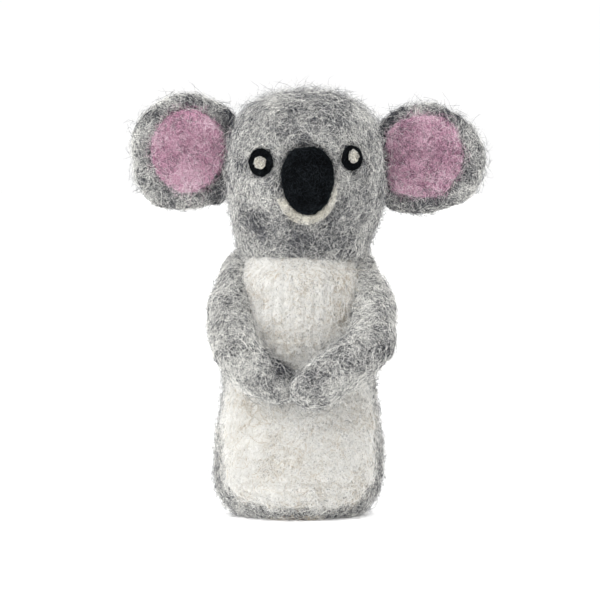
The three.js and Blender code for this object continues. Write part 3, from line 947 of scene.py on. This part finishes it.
def make_ear(side, step):
    node = f"{side}_ear"
    ear = softened(f"{side}_ear_felt", node, *FORMS["ear"])
    bulged(ear, node, EAR_BULGES[side])
    lumpy(ear, "ear", step)
    finished(ear, "grey_wool", node, node)
    furred(node, ear, "grey_wool", node, strand=EAR_STRAND, dark_spots=spots_on(node, EAR_SHADE_AND_TUFTS[side]),
           **coat_of("ear", step))
    return ear


def make_pad(side, step, ear):
    body, node = f"{side}_ear", f"{side}_ear_lining"
    pad = softened(f"{side}_pad_felt", node, *FORMS["pad"])
    swollen(pad, PAD_SWELL)
    bulged(pad, node, PAD_BULGES[side])
    lumpy(pad, "pad", step)
    finished(pad, "pink_wool", body, node)
    furred(f"{side}_pad", pad, "pink_wool", body, strand=EAR_STRAND, weights=PAD_WEIGHTS[side],
           dark_spots=spots_on(node, PAD_ROOT_SHADE[side]), **coat_of("pad", step))
    fuzz(f"{side}_pad_edging", ear, "pink_wool", body, keep=around(node, PAD_GROW),
         **coat_of("pad_edging", step))
    fuzz(f"{side}_pad_greys", pad, "grey_wool", body, keep=rim_of(node, PAD_RIM),
         **coat_of("pad_greys", step))


def make_ears():
    for step, side in enumerate(("left", "right")):
        make_pad(side, step, make_ear(side, step))


# The middle line of each arm from shoulder to paw, as shares of the arm's box (across, back, up), and
# the arm's half thickness there.
ARMS = {
    "left": (
        ((0.49, 0.88, 0.955), 4.9), ((0.4, 0.72, 0.83), 5.0), ((0.31, 0.52, 0.66), 5.1),
        ((0.36, 0.35, 0.5), 5.1), ((0.46, 0.24, 0.375), 5.2), ((0.63, 0.19, 0.275), 4.9),
        ((0.88, 0.21, 0.195), 4.4),
    ),
    "right": (
        ((0.62, 0.9, 0.95), 4.8), ((0.7, 0.76, 0.85), 4.8), ((0.765, 0.55, 0.71), 5.0),
        ((0.775, 0.36, 0.56), 5.2), ((0.66, 0.22, 0.435), 5.3), ((0.48, 0.14, 0.335), 5.1),
        ((0.32, 0.11, 0.255), 4.8), ((0.21, 0.1, 0.215), 4.6),
    ),
}
# Darker tufts, and painted shade in the V where the left paw tucks in behind the right: shares of the arm's
# box, reach, how much darker.
ARM_TUFTS_AND_SHADE = {
    "left": (
        ((0.9, 0.2, 0.32), 3.5, 0.8), ((0.85, 0.2, 0.15), 4, 0.2), ((0.62, 0.5, 0.86), 3, 0.5),
        ((0.45, 0.4, 0.62), 2.5, 0.4),
    ),
    "right": (
        ((0.3, 0.2, 0.1), 2.5, 0.5), ((0.2, 0.1, 0.25), 5, 0.2), ((0.8, 0.2, 0.47), 3, 0.5),
        ((0.45, 0.8, 0.95), 2.5, 0.6),
    ),
}
ARM_RINGS = 60
ARM_SIDES = 28
ARM_END_RINGS = 7
ARM_FLATNESS = 0.9
ARM_VOXEL = 0.45
ARM_GAP = 0.1  # between the arm and the white layer it lies on
ARM_REACH = 4  # points nearer than this to the white layer are pushed off it
ARM_SUNK = 1.5  # how deep an arm's root sits in the body's felt
FAR_OUT = 60  # well outside the body, where the rays that find its surface start


def spline(points, count):
    """A smooth line through points (Catmull-Rom), with their half thickness as a fourth number."""
    rows = np.array([2 * points[0] - points[1], *points, 2 * points[-1] - points[-2]])
    line = []
    for t in np.linspace(0, len(points) - 1, count):
        i = min(int(t), len(points) - 2)
        u, (a, b, c, d) = t - i, rows[i:i + 4]
        line.append(0.5 * (2 * b + (c - a) * u + (2 * a - 5 * b + 4 * c - d) * u ** 2
                           + (3 * b - a - 3 * c + d) * u ** 3))
    return np.array(line)


def rope_form(name, rows):
    """A closed felt rope with round ends along a line of (x, y, z, half thickness)."""
    line = spline(rows, ARM_RINGS)
    centres, thick = line[:, :3], line[:, 3]
    ahead = unit(np.gradient(centres, axis=0))
    start, end = centres[0], centres[-1]
    ends = np.linspace(0, math.pi / 2, ARM_END_RINGS)[:-1]
    head = [(start - ahead[0] * thick[0] * math.cos(a), ahead[0], thick[0] * math.sin(a)) for a in ends]
    tail = [(end + ahead[-1] * thick[-1] * math.cos(a), ahead[-1], thick[-1] * math.sin(a))
            for a in ends[::-1]]
    rings = head[1:] + list(zip(centres, ahead, thick)) + tail[:-1]
    mesh = bmesh.new()
    loops = []
    for centre, forward, radius in rings:
        out = Vector(forward).cross(Vector((0, 1, 0))).normalized()
        over = out.cross(Vector(forward))
        loop = []
        for k in range(ARM_SIDES):
            angle = 2 * math.pi * k / ARM_SIDES
            offset = out * math.cos(angle) + over * math.sin(angle) * ARM_FLATNESS
            loop.append(mesh.verts.new(Vector(centre) + offset * radius))
        loops.append(loop)
    for low, high in zip(loops, loops[1:]):
        for k in range(ARM_SIDES):
            after = (k + 1) % ARM_SIDES
            mesh.faces.new((low[k], low[after], high[after], high[k]))
    for loop, (tip, _, _) in ((loops[0], head[0]), (loops[-1], tail[-1])):
        point = mesh.verts.new(Vector(tip))
        for k in range(ARM_SIDES):
            mesh.faces.new((loop[k], loop[(k + 1) % ARM_SIDES], point))
    bmesh.ops.recalc_face_normals(mesh, faces=mesh.faces)
    data = bpy.data.meshes.new(name)
    mesh.to_mesh(data)
    mesh.free()
    return link(name, data)


def pressed(piece, against, gap):
    """Pushes the piece's points out of another piece, so that it lies flat against it."""
    tree = BVHTree.FromObject(against, bpy.context.evaluated_depsgraph_get())
    points, _ = corners(piece)
    for i, point in enumerate(points):
        found, normal, _, _ = tree.find_nearest(Vector(point))
        inside = (Vector(point) - found).dot(normal)
        if inside < gap * MM and (Vector(point) - found).length < ARM_REACH * MM:
            points[i] = np.array(found + normal * gap * MM)
    move_to(piece, points)


def kept_out(piece, shell, depth):
    """Keeps a piece from reaching deeper than so many millimetres into the hollow body."""
    tree = BVHTree.FromObject(shell, bpy.context.evaluated_depsgraph_get())
    points, _ = corners(piece)
    for i, point in enumerate(points):
        axis = Vector((BODY_MIDDLE.x, BODY_MIDDLE.y, point[2]))
        away = Vector(point) - axis
        out = away.normalized()
        surface = tree.ray_cast(axis + out * FAR_OUT * MM, -out)[0]
        if surface is None:
            continue
        least = (surface - axis).dot(out) - depth * MM
        if away.length < least:
            points[i] = np.array(axis + out * least)
    move_to(piece, points)


def make_arms():
    for step, side in enumerate(("left", "right")):
        node = f"{side}_arm"
        rows = [np.array([*within(node, share), half * MM]) for share, half in ARMS[side]]
        arm = rope_form(f"{side}_arm_felt", rows)
        remesh = arm.modifiers.new("remesh", "REMESH")
        remesh.mode = "VOXEL"
        remesh.voxel_size = ARM_VOXEL * MM
        applied(arm)
        pressed(arm, bpy.data.objects["belly_felt"], ARM_GAP)
        kept_out(arm, bpy.data.objects["body_felt"], ARM_SUNK)
        lumpy(arm, "arm", step)
        finished(arm, "grey_wool", node, node)
        furred(node, arm, "grey_wool", node, dark_spots=spots_on(node, ARM_TUFTS_AND_SHADE[side]),
               **coat_of("arm", step))


# ---------------------------------------------------------------- floor, light and camera

TARGET = Vector((-1.85 * MM, 0, 50.5 * MM))
VIEW_WIDTH = 139.2 * MM  # what the frame takes in at the puppet's distance
CAMERA_DISTANCE = 0.9
CAMERA_ELEVATION = 3
CAMERA_CLIP = 0.05
SENSOR = 36
FLOOR_HALF = 3
AMBIENT = 1.25
FLOOR_GLOW = 0.35
BACKDROP = 1.02
KEY_STRENGTH = 1.5
KEY_SPREAD = 60
KEY_FROM = (-0.8, -0.8, 0.6)


def make_camera():
    data = bpy.data.cameras.new("camera")
    data.sensor_width = SENSOR
    data.lens = SENSOR * CAMERA_DISTANCE / VIEW_WIDTH
    data.clip_start = CAMERA_CLIP
    camera = bpy.data.objects.new("camera", data)
    bpy.context.scene.collection.objects.link(camera)
    angle = math.radians(CAMERA_ELEVATION)
    back = Vector((0, -math.cos(angle), math.sin(angle)))
    camera.location = TARGET + back * CAMERA_DISTANCE
    camera.rotation_euler = (-back).to_track_quat("-Z", "Y").to_euler()
    bpy.context.scene.camera = camera


def make_floor():
    mesh = bpy.data.meshes.new("floor")
    edge = FLOOR_HALF
    corner_points = [(-edge, -edge, 0), (edge, -edge, 0), (edge, edge, 0), (-edge, edge, 0)]
    mesh.from_pydata(corner_points, [], [(0, 1, 2, 3)])
    floor = link("floor", mesh)
    paper = principled("floor_paper", (0.98, 0.98, 0.98), sheen=0)
    shader = paper.node_tree.nodes["Principled BSDF"]
    shader.inputs["Emission Color"].default_value = (1, 1, 1, 1)
    shader.inputs["Emission Strength"].default_value = FLOOR_GLOW
    mesh.materials.append(paper)


def make_world():
    """White behind the puppet, and a dimmer even light all round it."""
    world = bpy.data.worlds.new("studio")
    bpy.context.scene.world = world
    world.use_nodes = True
    nodes, links = world.node_tree.nodes, world.node_tree.links
    rays = nodes.new("ShaderNodeLightPath")
    strength = nodes.new("ShaderNodeMapRange")
    strength.inputs["To Min"].default_value = AMBIENT
    strength.inputs["To Max"].default_value = BACKDROP
    links.new(rays.outputs["Is Camera Ray"], strength.inputs["Value"])
    links.new(strength.outputs["Result"], nodes["Background"].inputs["Strength"])
    nodes["Background"].inputs["Color"].default_value = (1, 1, 1, 1)


def make_key():
    """One broad soft light from the viewer's upper left."""
    data = bpy.data.lights.new("key", "SUN")
    data.energy = KEY_STRENGTH
    data.angle = math.radians(KEY_SPREAD)
    light = bpy.data.objects.new("key", data)
    bpy.context.scene.collection.objects.link(light)
    light.rotation_euler = Vector(KEY_FROM).to_track_quat("Z", "Y").to_euler()


make_camera()
make_floor()
make_world()
make_key()
bpy.context.scene.view_settings.view_transform = "Standard"
make_body()
make_neck_and_head()
make_face()
make_ears()
make_arms()
